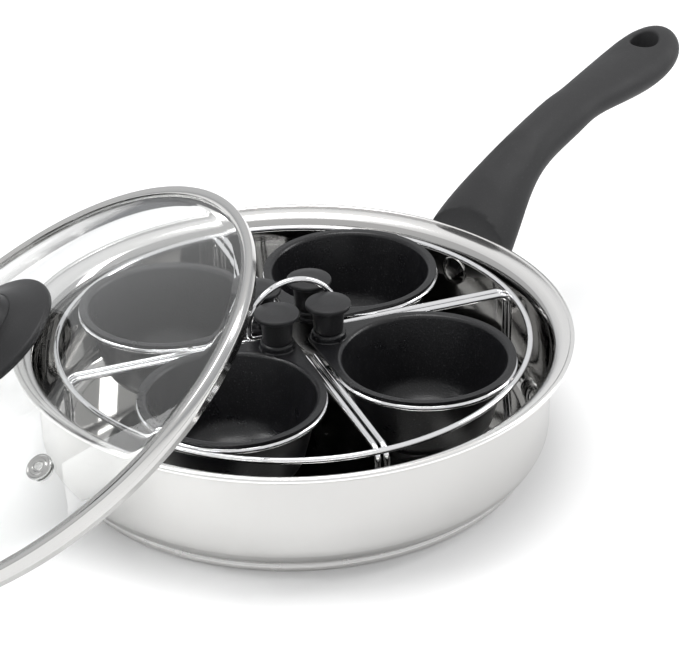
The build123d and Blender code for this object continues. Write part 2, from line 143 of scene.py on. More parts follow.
# %% Helpers for shader nodes
def new_group(name, inputs, outputs):
    """Makes an empty node group with named sockets: (name, kind, default) and (name, kind)."""
    group = bpy.data.node_groups.new(name, "ShaderNodeTree")
    for label, kind, default in inputs:
        socket = group.interface.new_socket(label, in_out="INPUT", socket_type=kind)
        if default is not None:
            socket.default_value = default
    for label, kind in outputs:
        group.interface.new_socket(label, in_out="OUTPUT", socket_type=kind)
    return group, group.nodes.new("NodeGroupInput"), group.nodes.new("NodeGroupOutput")


def add_node(tree, kind, values=None, **settings):
    """Adds one node, with its settings and the values of its unlinked sockets."""
    node = tree.nodes.new(kind)
    for label, value in settings.items():
        setattr(node, label, value)
    for label, value in (values or {}).items():
        node.inputs[label].default_value = value
    return node


def new_finish(name, base, metallic, roughness, **more):
    """Starts a material: returns its tree, its Principled shader and its object coordinates."""
    material = bpy.data.materials.new(name)
    material.use_nodes = True
    tree = material.node_tree
    shader = tree.nodes["Principled BSDF"]
    shader.inputs["Base Color"].default_value = (*base, 1)
    shader.inputs["Metallic"].default_value = metallic
    shader.inputs["Roughness"].default_value = roughness
    for label, value in more.items():
        shader.inputs[label.replace("_", " ")].default_value = value
    place = add_node(tree, "ShaderNodeTexCoord").outputs["Object"]
    return material, tree, shader, place


# %% [markdown]
# ## Lathe lines, smudges, grain and bumps
# Spun and polished steel carries very fine rings about the axis that it turned on. They could be
# drawn as an image, but a noise that only sees the radius and the height gives endless rings with
# no seam. Smudges are a large soft noise that makes the gloss uneven, as wiped metal has. Moulded
# grain is a fine cell pattern, for plastic, and the sprayed coating of the cups is finer still.

# %% Group: lathe lines
lathe_lines, given, made = new_group(
    "lathe_lines",
    [("Vector", "NodeSocketVector", None), ("Lines", "NodeSocketFloat", 900.0)],
    [("Height", "NodeSocketFloat"), ("Mask", "NodeSocketFloat")],
)
split = add_node(lathe_lines, "ShaderNodeSeparateXYZ")
flat = add_node(lathe_lines, "ShaderNodeCombineXYZ")
reach = add_node(lathe_lines, "ShaderNodeVectorMath", operation="LENGTH")
section = add_node(lathe_lines, "ShaderNodeCombineXYZ")
fine = add_node(lathe_lines, "ShaderNodeTexNoise", {"Detail": 3.0, "Roughness": 0.6})
link = lathe_lines.links.new
link(given.outputs["Vector"], split.inputs["Vector"])
link(split.outputs["X"], flat.inputs["X"])
link(split.outputs["Y"], flat.inputs["Y"])
link(flat.outputs["Vector"], reach.inputs[0])
link(reach.outputs["Value"], section.inputs["X"])
link(split.outputs["Z"], section.inputs["Y"])
link(section.outputs["Vector"], fine.inputs["Vector"])
link(given.outputs["Lines"], fine.inputs["Scale"])
link(fine.outputs["Fac"], made.inputs["Height"])
ring_mask = add_node(lathe_lines, "ShaderNodeMapRange", {"From Min": 0.35, "From Max": 0.65})
link(fine.outputs["Fac"], ring_mask.inputs["Value"])
link(ring_mask.outputs["Result"], made.inputs["Mask"])
print("group:", lathe_lines.name)

# %% Group: smudges
smudges, given, made = new_group(
    "smudges",
    [
        ("Vector", "NodeSocketVector", None),
        ("Size", "NodeSocketFloat", 22.0),
        ("Least", "NodeSocketFloat", 0.1),
        ("Most", "NodeSocketFloat", 0.2),
    ],
    [("Roughness", "NodeSocketFloat"), ("Mask", "NodeSocketFloat")],
)
cloud = add_node(
    smudges, "ShaderNodeTexNoise", {"Detail": 5.0, "Roughness": 0.62, "Distortion": 0.6}
)
spread = add_node(smudges, "ShaderNodeMapRange", {"From Min": 0.36, "From Max": 0.66})
level = add_node(smudges, "ShaderNodeMapRange")
link = smudges.links.new
link(given.outputs["Vector"], cloud.inputs["Vector"])
link(given.outputs["Size"], cloud.inputs["Scale"])
link(cloud.outputs["Fac"], spread.inputs["Value"])
link(spread.outputs["Result"], made.inputs["Mask"])
link(spread.outputs["Result"], level.inputs["Value"])
link(given.outputs["Least"], level.inputs["To Min"])
link(given.outputs["Most"], level.inputs["To Max"])
link(level.outputs["Result"], made.inputs["Roughness"])


def wipe(tree, shader, place, least, most, size=22.0):
    """Presses the smudges into a finish, with a roughness between least and most."""
    values = {"Size": size, "Least": least, "Most": most}
    wiped = add_node(tree, "ShaderNodeGroup", values, node_tree=smudges)
    tree.links.new(place, wiped.inputs["Vector"])
    tree.links.new(wiped.outputs["Roughness"], shader.inputs["Roughness"])


print("group:", smudges.name)

# %% Group: moulded grain
moulded_grain, given, made = new_group(
    "moulded_grain",
    [("Vector", "NodeSocketVector", None), ("Grain", "NodeSocketFloat", 1500.0)],
    [("Height", "NodeSocketFloat"), ("Fleck", "NodeSocketFloat")],
)
cells = add_node(moulded_grain, "ShaderNodeTexVoronoi", feature="SMOOTH_F1")
haze = add_node(moulded_grain, "ShaderNodeTexNoise", {"Detail": 2.0, "Roughness": 0.5})
blend = add_node(moulded_grain, "ShaderNodeMath", operation="ADD")
flecks = add_node(moulded_grain, "ShaderNodeMapRange", {"From Min": 0.6, "From Max": 0.78})
link = moulded_grain.links.new
for texture in (cells, haze):
    link(given.outputs["Vector"], texture.inputs["Vector"])
    link(given.outputs["Grain"], texture.inputs["Scale"])
link(cells.outputs["Distance"], blend.inputs[0])
link(haze.outputs["Fac"], blend.inputs[1])
link(blend.outputs["Value"], made.inputs["Height"])
link(haze.outputs["Fac"], flecks.inputs["Value"])
link(flecks.outputs["Result"], made.inputs["Fleck"])
print("group:", moulded_grain.name)

# %% [markdown]
# ## The steels
# The pan's wall is polished nearly to a mirror, its base and screws are duller, and the rack is
# plated wire, the brightest of all. Each is a bare metal with marks from turning, so one helper
# presses the rings and smudges into them all, and only the numbers differ. The depth of the marks
# is in metres, about a hundred-thousandth, because real polishing marks are that shallow.

# %% Finish: turned steel
def steel_finish(name, base, least, most, lines, depth):
    """A turned or polished metal: rings of a depth, and a gloss between least and most rough."""
    material, tree, shader, place = new_finish(name, base, 1.0, least)
    wipe(tree, shader, place, least, most)
    rings = add_node(tree, "ShaderNodeGroup", {"Lines": lines}, node_tree=lathe_lines)
    bump = add_node(tree, "ShaderNodeBump", {"Strength": 1.0, "Distance": depth})
    tree.links.new(place, rings.inputs["Vector"])
    tree.links.new(rings.outputs["Height"], bump.inputs["Height"])
    tree.links.new(bump.outputs["Normal"], shader.inputs["Normal"])
    return material


rivet_steel = steel_finish(
    "rivet_steel", (0.72, 0.715, 0.70), least=0.06, most=0.12, lines=700.0, depth=0.000004
)
base_steel = steel_finish(
    "base_steel", (0.70, 0.69, 0.68), least=0.22, most=0.34, lines=1500.0, depth=0.00001
)
bracket_steel = steel_finish(
    "bracket_steel", (0.60, 0.60, 0.59), least=0.28, most=0.42, lines=400.0, depth=0.00002
)
screw_steel = steel_finish(
    "screw_steel", (0.62, 0.62, 0.61), least=0.2, most=0.34, lines=2500.0, depth=0.00001
)
band_steel = steel_finish(
    "band_steel", (0.60, 0.595, 0.585), least=0.09, most=0.17, lines=900.0, depth=0.000004
)
vent_steel = steel_finish(
    "vent_steel", (0.50, 0.50, 0.49), least=0.14, most=0.24, lines=1800.0, depth=0.000008
)
weld_steel = steel_finish(
    "weld_steel", (0.66, 0.63, 0.60), least=0.25, most=0.45, lines=3000.0, depth=0.00003
)
rack_chrome = steel_finish(
    "rack_chrome", (0.86, 0.86, 0.87), least=0.04, most=0.09, lines=300.0, depth=0.000002
)
core_aluminium = steel_finish(
    "core_aluminium", (0.78, 0.78, 0.79), least=0.3, most=0.42, lines=900.0, depth=0.00001
)
print("metals:", [m.name for m in bpy.data.materials])

# %% [markdown]
# ## The pan's two faces
# The inside of this pan is buffed to a mirror, and the outside and the lip are left with a soft
# satin. It is one sheet with one material, so the change is painted by the distance from the
# pan's axis: a mask is zero inside the wall and one outside it, and in the lip its edge lies a
# little further out, where the buffing wheel stopped. The mask then picks the colour and adds to
# the roughness. The mirror is a little darker, because it is seen after several bounces, and a
# second mask by height paints a highlight into the colour of the lip, brighter than the wall.

# %% Finish: the pan's steel
# The third colour is a painted highlight for the lip, paler than its satin.
MIRROR, SATIN, LIP_HIGHLIGHT = (0.50, 0.495, 0.485), (0.60, 0.595, 0.585), (0.90, 0.89, 0.88)
MIRROR_WALL, MIRROR_LIP = 0.1004, 0.1024
BUFFED_TO, BUFFED_STEP, EDGE_BLUR = 0.0447, 0.0004, 0.0001
# The heights over which the lip's painted highlight fades in.
HIGHLIGHT_LOW, HIGHLIGHT_HIGH = 0.0450, 0.0485
SATIN_ROUGHER = 0.17

pan_steel = steel_finish("pan_steel", SATIN, least=0.03, most=0.07, lines=700.0, depth=0.000003)
tree = pan_steel.node_tree
shader = tree.nodes["Principled BSDF"]
inside_gloss = shader.inputs["Roughness"].links[0].from_socket
pan_place = add_node(tree, "ShaderNodeTexCoord").outputs["Object"]
level_place = add_node(tree, "ShaderNodeVectorMath", operation="MULTIPLY")
level_place.inputs[1].default_value = (1, 1, 0)
from_axis = add_node(tree, "ShaderNodeVectorMath", operation="LENGTH")
mirror_edge = add_node(
    tree, "ShaderNodeMapRange",
    {
        "From Min": BUFFED_TO - BUFFED_STEP, "From Max": BUFFED_TO,
        "To Min": MIRROR_WALL, "To Max": MIRROR_LIP,
    },
)
past_edge = add_node(tree, "ShaderNodeMath", operation="SUBTRACT")
outer_mask = add_node(tree, "ShaderNodeMapRange", {"From Min": -EDGE_BLUR, "From Max": EDGE_BLUR})
two_faces = add_node(tree, "ShaderNodeMix", data_type="RGBA")
two_faces.inputs[6].default_value = (*MIRROR, 1)
satin_gloss = add_node(tree, "ShaderNodeMath", operation="MULTIPLY_ADD")
satin_gloss.inputs[1].default_value = SATIN_ROUGHER
pan_height = add_node(tree, "ShaderNodeSeparateXYZ")
# Painted highlight: the lip's colour is made brighter by height, for the sky light it catches.
lip_highlight_mask = add_node(tree, "ShaderNodeMapRange", {"From Min": HIGHLIGHT_LOW, "From Max": HIGHLIGHT_HIGH})
painted_lip_highlight = add_node(tree, "ShaderNodeMix", data_type="RGBA")
painted_lip_highlight.inputs[6].default_value = (*SATIN, 1)
painted_lip_highlight.inputs[7].default_value = (*LIP_HIGHLIGHT, 1)
tree.links.new(pan_place, pan_height.inputs["Vector"])
tree.links.new(pan_height.outputs["Z"], lip_highlight_mask.inputs["Value"])
tree.links.new(lip_highlight_mask.outputs["Result"], painted_lip_highlight.inputs[0])
tree.links.new(painted_lip_highlight.outputs[2], two_faces.inputs[7])
tree.links.new(pan_place, level_place.inputs[0])
tree.links.new(level_place.outputs["Vector"], from_axis.inputs[0])
tree.links.new(pan_height.outputs["Z"], mirror_edge.inputs["Value"])
tree.links.new(from_axis.outputs["Value"], past_edge.inputs[0])
tree.links.new(mirror_edge.outputs["Result"], past_edge.inputs[1])
tree.links.new(past_edge.outputs["Value"], outer_mask.inputs["Value"])
tree.links.new(outer_mask.outputs["Result"], two_faces.inputs[0])
tree.links.new(two_faces.outputs[2], shader.inputs["Base Color"])
tree.links.new(outer_mask.outputs["Result"], satin_gloss.inputs[0])
tree.links.new(inside_gloss, satin_gloss.inputs[2])
tree.links.new(satin_gloss.outputs["Value"], shader.inputs["Roughness"])
print("mirror up to", MIRROR_WALL * 1000, "mm on the wall and", MIRROR_LIP * 1000, "mm in the lip")

# %% [markdown]
# ## The blacks
# Three blacks sit side by side and must not look alike. The cups have a sprayed coating with a
# satin sheen and tiny bright flecks. The handle is moulded in a hard resin, smooth but finely
# grained, and the knobs are the same resin with a sharper shine.

# %% Finish: coating and resin
def black_finish(name, base, pale, least, most, grain, depth, shine):
    """A black surface: grain of a depth, flecks paler than the base, and so much shine."""
    material, tree, shader, place = new_finish(name, base, 0.0, least, Specular_IOR_Level=shine)
    wipe(tree, shader, place, least, most, size=35.0)
    grained = add_node(tree, "ShaderNodeGroup", {"Grain": grain}, node_tree=moulded_grain)
    bump = add_node(tree, "ShaderNodeBump", {"Strength": 1.0, "Distance": depth})
    tint = add_node(tree, "ShaderNodeMix", data_type="RGBA")
    tint.inputs[6].default_value = (*base, 1)
    tint.inputs[7].default_value = (*pale, 1)
    tree.links.new(place, grained.inputs["Vector"])
    tree.links.new(grained.outputs["Height"], bump.inputs["Height"])
    tree.links.new(grained.outputs["Fleck"], tint.inputs[0])
    tree.links.new(tint.outputs[2], shader.inputs["Base Color"])
    tree.links.new(bump.outputs["Normal"], shader.inputs["Normal"])
    return material


cup_coating = black_finish(
    "cup_coating", base=(0.006, 0.006, 0.007), pale=(0.040, 0.040, 0.042),
    least=0.26, most=0.38, grain=1500.0, depth=0.00004, shine=0.42,
)
handle_black = black_finish(
    "handle_black", base=(0.031, 0.031, 0.032), pale=(0.042, 0.042, 0.044),
    least=0.46, most=0.60, grain=1300.0, depth=0.00003, shine=0.22,
)
knob_black = black_finish(
    "knob_black", base=(0.018, 0.018, 0.019), pale=(0.030, 0.030, 0.032),
    least=0.36, most=0.48, grain=1700.0, depth=0.00002, shine=0.32,
)
print("blacks:", cup_coating.name, handle_black.name, knob_black.name)

# %% [markdown]
# ## The glass and the floor's paint
# Tempered glass is clear with a trace of green, and it is the fine smears on it that catch the
# light. A very low, slightly uneven roughness keeps the cups behind it sharp. The floor is painted
# nearly white, and dull, so that it sends soft light up under the pan and shows no reflection.

# %% Finish: lid glass
lid_clear, tree, shader, place = new_finish(
    "lid_clear", (0.985, 0.992, 0.989), 0.0, 0.0, Transmission_Weight=1.0, IOR=1.5
)
wipe(tree, shader, place, least=0.0, most=0.03, size=14.0)
print("glass:", lid_clear.name)

# %% Finish: the floor's paint
floor_paint, tree, shader, place = new_finish("floor_paint", (0.93, 0.93, 0.93), 0.0, 0.6)
wipe(tree, shader, place, least=0.55, most=0.7, size=3.0)
floor.data.materials.append(floor_paint)
print("floor:", floor_paint.name)

# %% [markdown]
# ## How the round pieces are drawn
# Nearly everything here was turned, spun or bent from wire. So a piece starts as the outline of
# its section, a few corners joined by edges. Each corner is rounded by bevelling its vertex,
# and the outline is then spun about the axis, as on a potter's wheel. A pressed piece is drawn as
# one thin surface, and gets its thickness once all its faces point the right way. Sizes from here
# on are in millimetres, as on a maker's drawing, and MM turns them into Blender's metres.

# %% Helpers: outline and spin
MM = 0.001
SAME_SPOT = 0.001 * MM
ROUND_STEPS = 8
BAR_SIDES = 16


def add_outline(bm, corners, closed=False, steps=ROUND_STEPS):
    """Draws a section through (radius, height, rounding) corners in millimetres."""
    verts = [bm.verts.new((radius * MM, 0, height * MM)) for radius, height, _ in corners]
    pairs = list(zip(verts, verts[1:])) + ([(verts[-1], verts[0])] if closed else [])
    for start, end in pairs:
        bm.edges.new((start, end))
    places = [vert.co.copy() for vert in verts]
    for index, (_, _, rounding) in enumerate(corners):
        if not rounding:
            continue
        before = places[index] - places[index - 1]
        after = places[(index + 1) % len(places)] - places[index]
        bmesh.ops.bevel(
            bm, geom=[verts[index]], offset=rounding * MM * tan(before.angle(after) / 2),
            offset_type="OFFSET", segments=steps, profile=0.5, affect="VERTICES", material=-1,
        )


def spin_round(bm, steps):
    """Spins all that is drawn so far a full turn, closes the seam and the poles."""
    bmesh.ops.spin(
        bm, geom=bm.verts[:] + bm.edges[:], cent=(0, 0, 0), axis=(0, 0, 1),
        angle=2 * pi, steps=steps, use_merge=True,
    )
    bmesh.ops.remove_doubles(bm, verts=bm.verts, dist=SAME_SPOT)
    bmesh.ops.recalc_face_normals(bm, faces=bm.faces)


def turned(corners, steps=192, closed=False):
    """A bmesh of one outline, spun about the vertical axis."""
    bm = bmesh.new()
    add_outline(bm, corners, closed)
    spin_round(bm, steps)
    return bm


def round_bar(radius, height, thick, steps):
    """A bmesh of a ring that lies flat, with a round section of radius thick."""
    bm = bmesh.new()
    spot = Matrix.Translation((radius * MM, 0, height * MM)) @ Matrix.Rotation(pi / 2, 4, "X")
    bmesh.ops.create_circle(bm, segments=BAR_SIDES, radius=thick * MM, matrix=spot)
    spin_round(bm, steps)
    return bm


def face_way(bm, up=True):
    """Turns an open surface so that its lowest face looks up, or else down."""
    lowest = min(bm.faces, key=lambda face: face.calc_center_median().z)
    if (lowest.normal.z > 0) != up:
        bmesh.ops.reverse_faces(bm, faces=bm.faces)


# %% Helpers: finish a piece, and place it round the axis
SMOOTH_BELOW = 35
EDGE_STEPS, EDGE_OVER = 3, 50


def finished(
    name, bm, body, stands_for, material, place=None, wall=None, even=True, edge=None
):
    """Makes a drawing a piece: puts it in place, gives it its wall, soft edges, body and finish."""
    if place is not None:
        bm.transform(place)
    mesh = bpy.data.meshes.new(name)
    bm.to_mesh(mesh)
    bm.free()
    mesh.shade_smooth()
    mesh.set_sharp_from_angle(angle=radians(SMOOTH_BELOW))
    mesh.materials.append(material)
    piece = bpy.data.objects.new(name, mesh)
    scene.collection.objects.link(piece)
    if wall is not None:
        thicken = piece.modifiers.new("wall", "SOLIDIFY")
        thicken.thickness, thicken.offset = wall * MM, -1.0
        thicken.use_even_offset = even
    if edge is not None:
        soften = piece.modifiers.new("soft_edges", "BEVEL")
        soften.width, soften.segments = edge * MM, EDGE_STEPS
        soften.limit_method, soften.angle_limit = "ANGLE", radians(EDGE_OVER)
        soften.harden_normals = True
    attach(piece, body)
    if stands_for:
        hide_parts(*stands_for)
    print(name, len(mesh.polygons), "faces")
    return piece


def turn_place(radius, angle, height, facing=None):
    """A place at a radius and an angle round the pan's axis, turned to face an angle."""
    way = radians(angle)
    spot = Matrix.Translation((radius * MM * cos(way), radius * MM * sin(way), height * MM))
    return spot @ Matrix.Rotation(radians(angle if facing is None else facing), 4, "Z")


# %% [markdown]
# ## The pan
# The pan is one pressed sheet: a flat floor, a rounded corner, an upright wall that flares into a
# lip, and a rolled bead that hides the cut edge. The outline runs along the inside of the sheet,
# from the middle of the floor to the bead, because the inside shows most. The bead is a bar of its
# own, set a little low, so that its lower edge draws a thin line under the lip.

# %% Spin the pan's wall
STEEL = 0.8
WALL = 100.0
FLOOR_TOP = 4.8
LIP_EDGE, LIP_TOP, BEAD = 110.0, 50.7, 1.2
LIP_SLOPE = radians(28)
CORNER, CURL = 8.4, 7.2
LARGE_RING = 256
lip_reach, lip_end = LIP_EDGE - BEAD, LIP_TOP - BEAD + STEEL / cos(LIP_SLOPE)
lip_foot = lip_end - (lip_reach - WALL) * tan(LIP_SLOPE)

pan_sheet = turned([
    (0, FLOOR_TOP, 0), (WALL, FLOOR_TOP, CORNER), (WALL, lip_foot, CURL), (lip_reach, lip_end, 0),
], steps=LARGE_RING)
face_way(pan_sheet)
finished("pan_wall", pan_sheet, "pan", ["pan_shell"], pan_steel, wall=STEEL)

# %% Roll the bead
BEAD_DROP = 0.35
bead = round_bar(lip_reach, LIP_TOP - BEAD - BEAD_DROP, BEAD, LARGE_RING)
finished("pan_bead", bead, "pan", [], pan_steel)

# %% [markdown]
# ## The base
# Under the floor sits a thick disc of aluminium that spreads the heat, closed in by a thin steel
# cap. The cap is stamped with a few shallow rings, so that it can't bulge when it is hot. A flat
# disc would do for the photograph, but the underside is part of the object too.

# %% Spin the base cap
CAP_EDGE, CAP_HEIGHT, CAP_CORNER, CAP_STEEL = 94.6, 4.0, 1.4, 0.6
STAMPED_AT = (34, 62)
STAMP_FOOT, STAMP_TOP, STAMP_DEPTH, STAMP_SOFT = 4, 2, 0.35, 1.2

cap_outline = [(0, 0, 0)]
for middle in STAMPED_AT:
    cap_outline += [
        (middle - STAMP_FOOT, 0, STAMP_SOFT), (middle - STAMP_TOP, STAMP_DEPTH, STAMP_SOFT),
        (middle + STAMP_TOP, STAMP_DEPTH, STAMP_SOFT), (middle + STAMP_FOOT, 0, STAMP_SOFT),
    ]
cap_sheet = turned(cap_outline + [(CAP_EDGE, 0, CAP_CORNER), (CAP_EDGE, CAP_HEIGHT, 0)])
face_way(cap_sheet, up=False)
finished(
    "base_cap_rings", cap_sheet, "pan", ["base_cap"], base_steel, wall=CAP_STEEL
)

# %% [markdown]
# ## The rivet and the handle
# One broad rivet with a low polished head holds the handle's bracket. The handle is a free form,
# lofted in the measured model, so a copy of that mesh is the best start. Its loose triangles are
# merged first, and then the points inside an oval are pushed in along their normals, with a soft
# step at the edge, to mould the thumb rest. A bump would only paint it, and vanish at the outline.
# The neck behind it is eased out by a millimetre, where the loft draws in more than the real one.

# %% Spin the rivet head
RIVET_HEAD, RIVET_DOME, RIVET_EDGE = 6.2, 1.8, 0.6
RIVET_SEAT, RIVET_HEIGHT = 99.8, 35.3
SMALL_RING = 64

rivet = turned([
    (0, RIVET_DOME, 0), (3.2, RIVET_DOME, 4.0), (RIVET_HEAD, RIVET_EDGE, 0.5), (RIVET_HEAD, 0, 0),
    (0, 0, 0),
], steps=SMALL_RING)
rivet_spot = Matrix.Translation((RIVET_SEAT * MM, 0, RIVET_HEIGHT * MM))
finished(
    "rivet_head", rivet, "pan", [], rivet_steel,
    place=rivet_spot @ Matrix.Rotation(-pi / 2, 4, "Y"),
)

# %% Press the thumb rest into the handle
THUMB_REST, THUMB_LENGTH, THUMB_WIDTH, THUMB_DEPTH = 136.6, 12.5, 9.8, 0.8
THUMB_FLOOR, THUMB_RIM = 0.55, 1.1
UPPER_SIDE = 0.3
NECK, NECK_SPREAD, NECK_FULLER = 190.0, 13.0, 0.09

grip = bmesh.new()
grip.from_mesh(nodes["handle_grip"].data)
bmesh.ops.remove_doubles(grip, verts=grip.verts, dist=SAME_SPOT)
grip.normal_update()
pressed = 0
for vert in grip.verts:
    along = vert.co.x / MM
    vert.co.y *= 1 + NECK_FULLER * exp(-(((along - NECK) / NECK_SPREAD) ** 2))
    across = vert.co.y / MM
    share = sqrt(((along - THUMB_REST) / THUMB_LENGTH) ** 2 + (across / THUMB_WIDTH) ** 2)
    if share > THUMB_RIM or vert.normal.z < UPPER_SIDE:
        continue
    slope = min(max((THUMB_RIM - share) / (THUMB_RIM - THUMB_FLOOR), 0), 1)
    vert.co -= vert.normal * THUMB_DEPTH * MM * slope * slope * (3 - 2 * slope)
    pressed += 1
finished("grip_moulding", grip, "pan", ["handle_grip"], handle_black)
print("thumb rest:", pressed, "points pressed in")

# %% [markdown]
# ## The wire rack
# A rack is bent from wire on a machine that only knows two moves: push the wire straight, or turn
# it round a former. The helper below works in just that way. It starts with a small round face,
# extrudes it for a straight run, and spins it about the former's axis for a bend. A curve object
# would be quicker, but this keeps every bend a true arc with even faces.

# %% Helper: the wire bender
WIRE, WIRE_EDGE = 1.2, 0.3
BEND_STEP, FEWEST_STEPS = 5, 6


def bent_wire(bm, start, heading, moves):
    """Bends one wire: moves are ("run", length) and ("bend", radius, towards, degrees)."""
    place, way = Vector(start), Vector(heading).normalized()
    aim = way.to_track_quat("Z", "Y").to_matrix().to_4x4()
    ends = bmesh.ops.create_circle(
        bm, cap_ends=True, segments=BAR_SIDES, radius=WIRE * MM,
        matrix=Matrix.Translation(place * MM) @ aim,
    )["verts"]
    ring = [edge for edge in bm.edges if all(vert in ends for vert in edge.verts)]
    for move in moves:
        if move[0] == "run":
            grown = bmesh.ops.extrude_edge_only(bm, edges=ring)["geom"]
            verts = [part for part in grown if isinstance(part, bmesh.types.BMVert)]
            bmesh.ops.translate(bm, verts=verts, vec=way * move[1] * MM)
            place = place + way * move[1]
            ring = [part for part in grown if isinstance(part, bmesh.types.BMEdge)
                    and all(vert in verts for vert in part.verts)]
            continue
        _, radius, towards, degrees = move
        towards = Vector(towards).normalized()
        former, axle = place + towards * radius, way.cross(towards)
        last = bmesh.ops.spin(
            bm, geom=ring, cent=former * MM, axis=axle, angle=radians(degrees),
            steps=max(FEWEST_STEPS, round(degrees / BEND_STEP)), use_merge=False,
        )["geom_last"]
        ring = [part for part in last if isinstance(part, bmesh.types.BMEdge)]
        turn = Matrix.Rotation(radians(degrees), 3, axle)
        place, way = former + turn @ (place - former), turn @ way
    bmesh.ops.edgeloop_fill(bm, edges=ring)
    bmesh.ops.recalc_face_normals(bm, faces=bm.faces)


# %% Bend the rings
RACK_HEIGHT = 47.3
RACK_RING, CUP_RING, CUP_REACH = 92.5, 34.8, 55.2
FIRST_CUP = 17.6
CUP_STEPS = 128
cup_ways = {name: FIRST_CUP + 90 * count for count, name in enumerate(("rear", "left", "front", "right"))}

finished(
    "rack_ring_wire", round_bar(RACK_RING, 0, WIRE, LARGE_RING), "rack", ["rack_ring"],
    rack_chrome, place=turn_place(0, 0, RACK_HEIGHT),
)
for name, angle in cup_ways.items():
    finished(
        f"{name}_cup_wire", round_bar(CUP_RING, 0, WIRE, CUP_STEPS), "rack", [f"{name}_cup_ring"],
        rack_chrome, place=turn_place(CUP_REACH, angle, RACK_HEIGHT),
    )

# %% Bend the spokes
HALF_GAP = 1.733
LEG_REACH, LEG_BEND, LEG_FOOT = 91.91, 5.0, 6.3
LONG_FROM, SHORT_FROM = 10.5, 18.8
spoke_starts = {"back": SHORT_FROM, "lid": LONG_FROM, "front": SHORT_FROM, "handle": LONG_FROM}
spoke_ways = [angle + 45 for angle in cup_ways.values()]
leg = RACK_HEIGHT - LEG_BEND - LEG_FOOT - HALF_GAP

for angle, (name, inner) in zip(spoke_ways, spoke_starts.items()):
    spoke = bmesh.new()
    straight = LEG_REACH - LEG_BEND - inner
    bent_wire(spoke, (inner, HALF_GAP, RACK_HEIGHT), (1, 0, 0), [
        ("run", straight), ("bend", LEG_BEND, (0, 0, -1), 90), ("run", leg),
        ("bend", HALF_GAP, (0, -1, 0), 180), ("run", leg),
        ("bend", LEG_BEND, (-1, 0, 0), 90), ("run", straight),
    ])
    finished(
        f"{name}_spoke_wire", spoke, "rack", [f"{name}_spoke"], rack_chrome,
        place=turn_place(0, angle, 0), edge=WIRE_EDGE,
    )

# %% Bend the lifting loop
LOOP_REACH, LOOP_BEND, LOOP_HEIGHT = 18.5, 2.4, 49.096
LOOP_FROM, LOOP_RISE = 11, 1.6
foot = LOOP_REACH - LOOP_BEND - LOOP_FROM

loop = bmesh.new()
bent_wire(loop, (-LOOP_FROM, 0, LOOP_HEIGHT), (-1, 0, 0), [
    ("run", foot), ("bend", LOOP_BEND, (0, 0, 1), 90), ("run", LOOP_RISE),
    ("bend", LOOP_REACH, (1, 0, 0), 180), ("run", LOOP_RISE),
    ("bend", LOOP_BEND, (-1, 0, 0), 90), ("run", foot),
])
finished(
    "lifting_loop_wire", loop, "rack", ["lifting_loop"], rack_chrome,
    place=turn_place(0, FIRST_CUP - 45, 0), edge=WIRE_EDGE,
)

# %% [markdown]
# ## The welds
# Where two wires touch, a spot weld melts them together and leaves a small flattened lump between
# them. They are tiny, but without them the wires only seem to lie on each other. Each lump is a
# small ball, squashed in height and set between two wires.

# %% Set the weld lumps
WELD, WELD_FLATNESS = 0.9, 0.7
LEG_WELD_TURN, LEG_WELD_REACH, LEG_WELD_HEIGHT = 1.08, 91.6, 46.45
SPOKE_WELD_TURN, SPOKE_WELD_REACH = 4.2, 39.0
CUP_WELD_REACH = 91.25

weld_spots = []
for spoke_way, cup_way in zip(spoke_ways, cup_ways.values()):
    for side in (-1, 1):
        weld_spots.append((LEG_WELD_REACH, spoke_way + side * LEG_WELD_TURN, LEG_WELD_HEIGHT))
        weld_spots.append((SPOKE_WELD_REACH, spoke_way + side * SPOKE_WELD_TURN, RACK_HEIGHT))
    weld_spots.append((CUP_WELD_REACH, cup_way, RACK_HEIGHT))
welds = bmesh.new()
for weld_spot in weld_spots:
    squashed = turn_place(*weld_spot) @ Matrix.Diagonal((1.0, 1.0, WELD_FLATNESS, 1.0))
    bmesh.ops.create_icosphere(welds, subdivisions=2, radius=WELD * MM, matrix=squashed)
finished("rack_welds", welds, "rack", [], weld_steel)

# %% [markdown]
# ## The egg cups
# A cup is pressed from one thin sheet. Its flat rim hangs on the ring, and one side of the rim
# runs out into a tab with a raised boss for the knob. The bowl and the boss are spun as two open
# surfaces. The tab's edge is drawn as with a pair of compasses, and the flat sheet between the
# three is filled in. The sheet then gets its thickness downwards, and its cut edges are softened.
# Its thickness isn't evened out at corners, because the thin triangles of the fill would spike.

# %% Press one cup
CUP_STEEL, CUP_SOFT = 1.1, 0.35
CUP_MOUTH, CUP_DEPTH, CUP_RIM = 32.9, 33.0, 35.4
CUP_TAPER = radians(14)
CUP_CORNER, MOUTH_ROUND, MOUTH_END = 11.9, 1.8, 33.9
TAB_REACH, TAB_END = 40.2, 7.9
BOSS, BOSS_HEIGHT, BOSS_ROUND = 6.8, 3.0, 1.3
BOSS_FOOT, BOSS_END = 0.6, 7.5


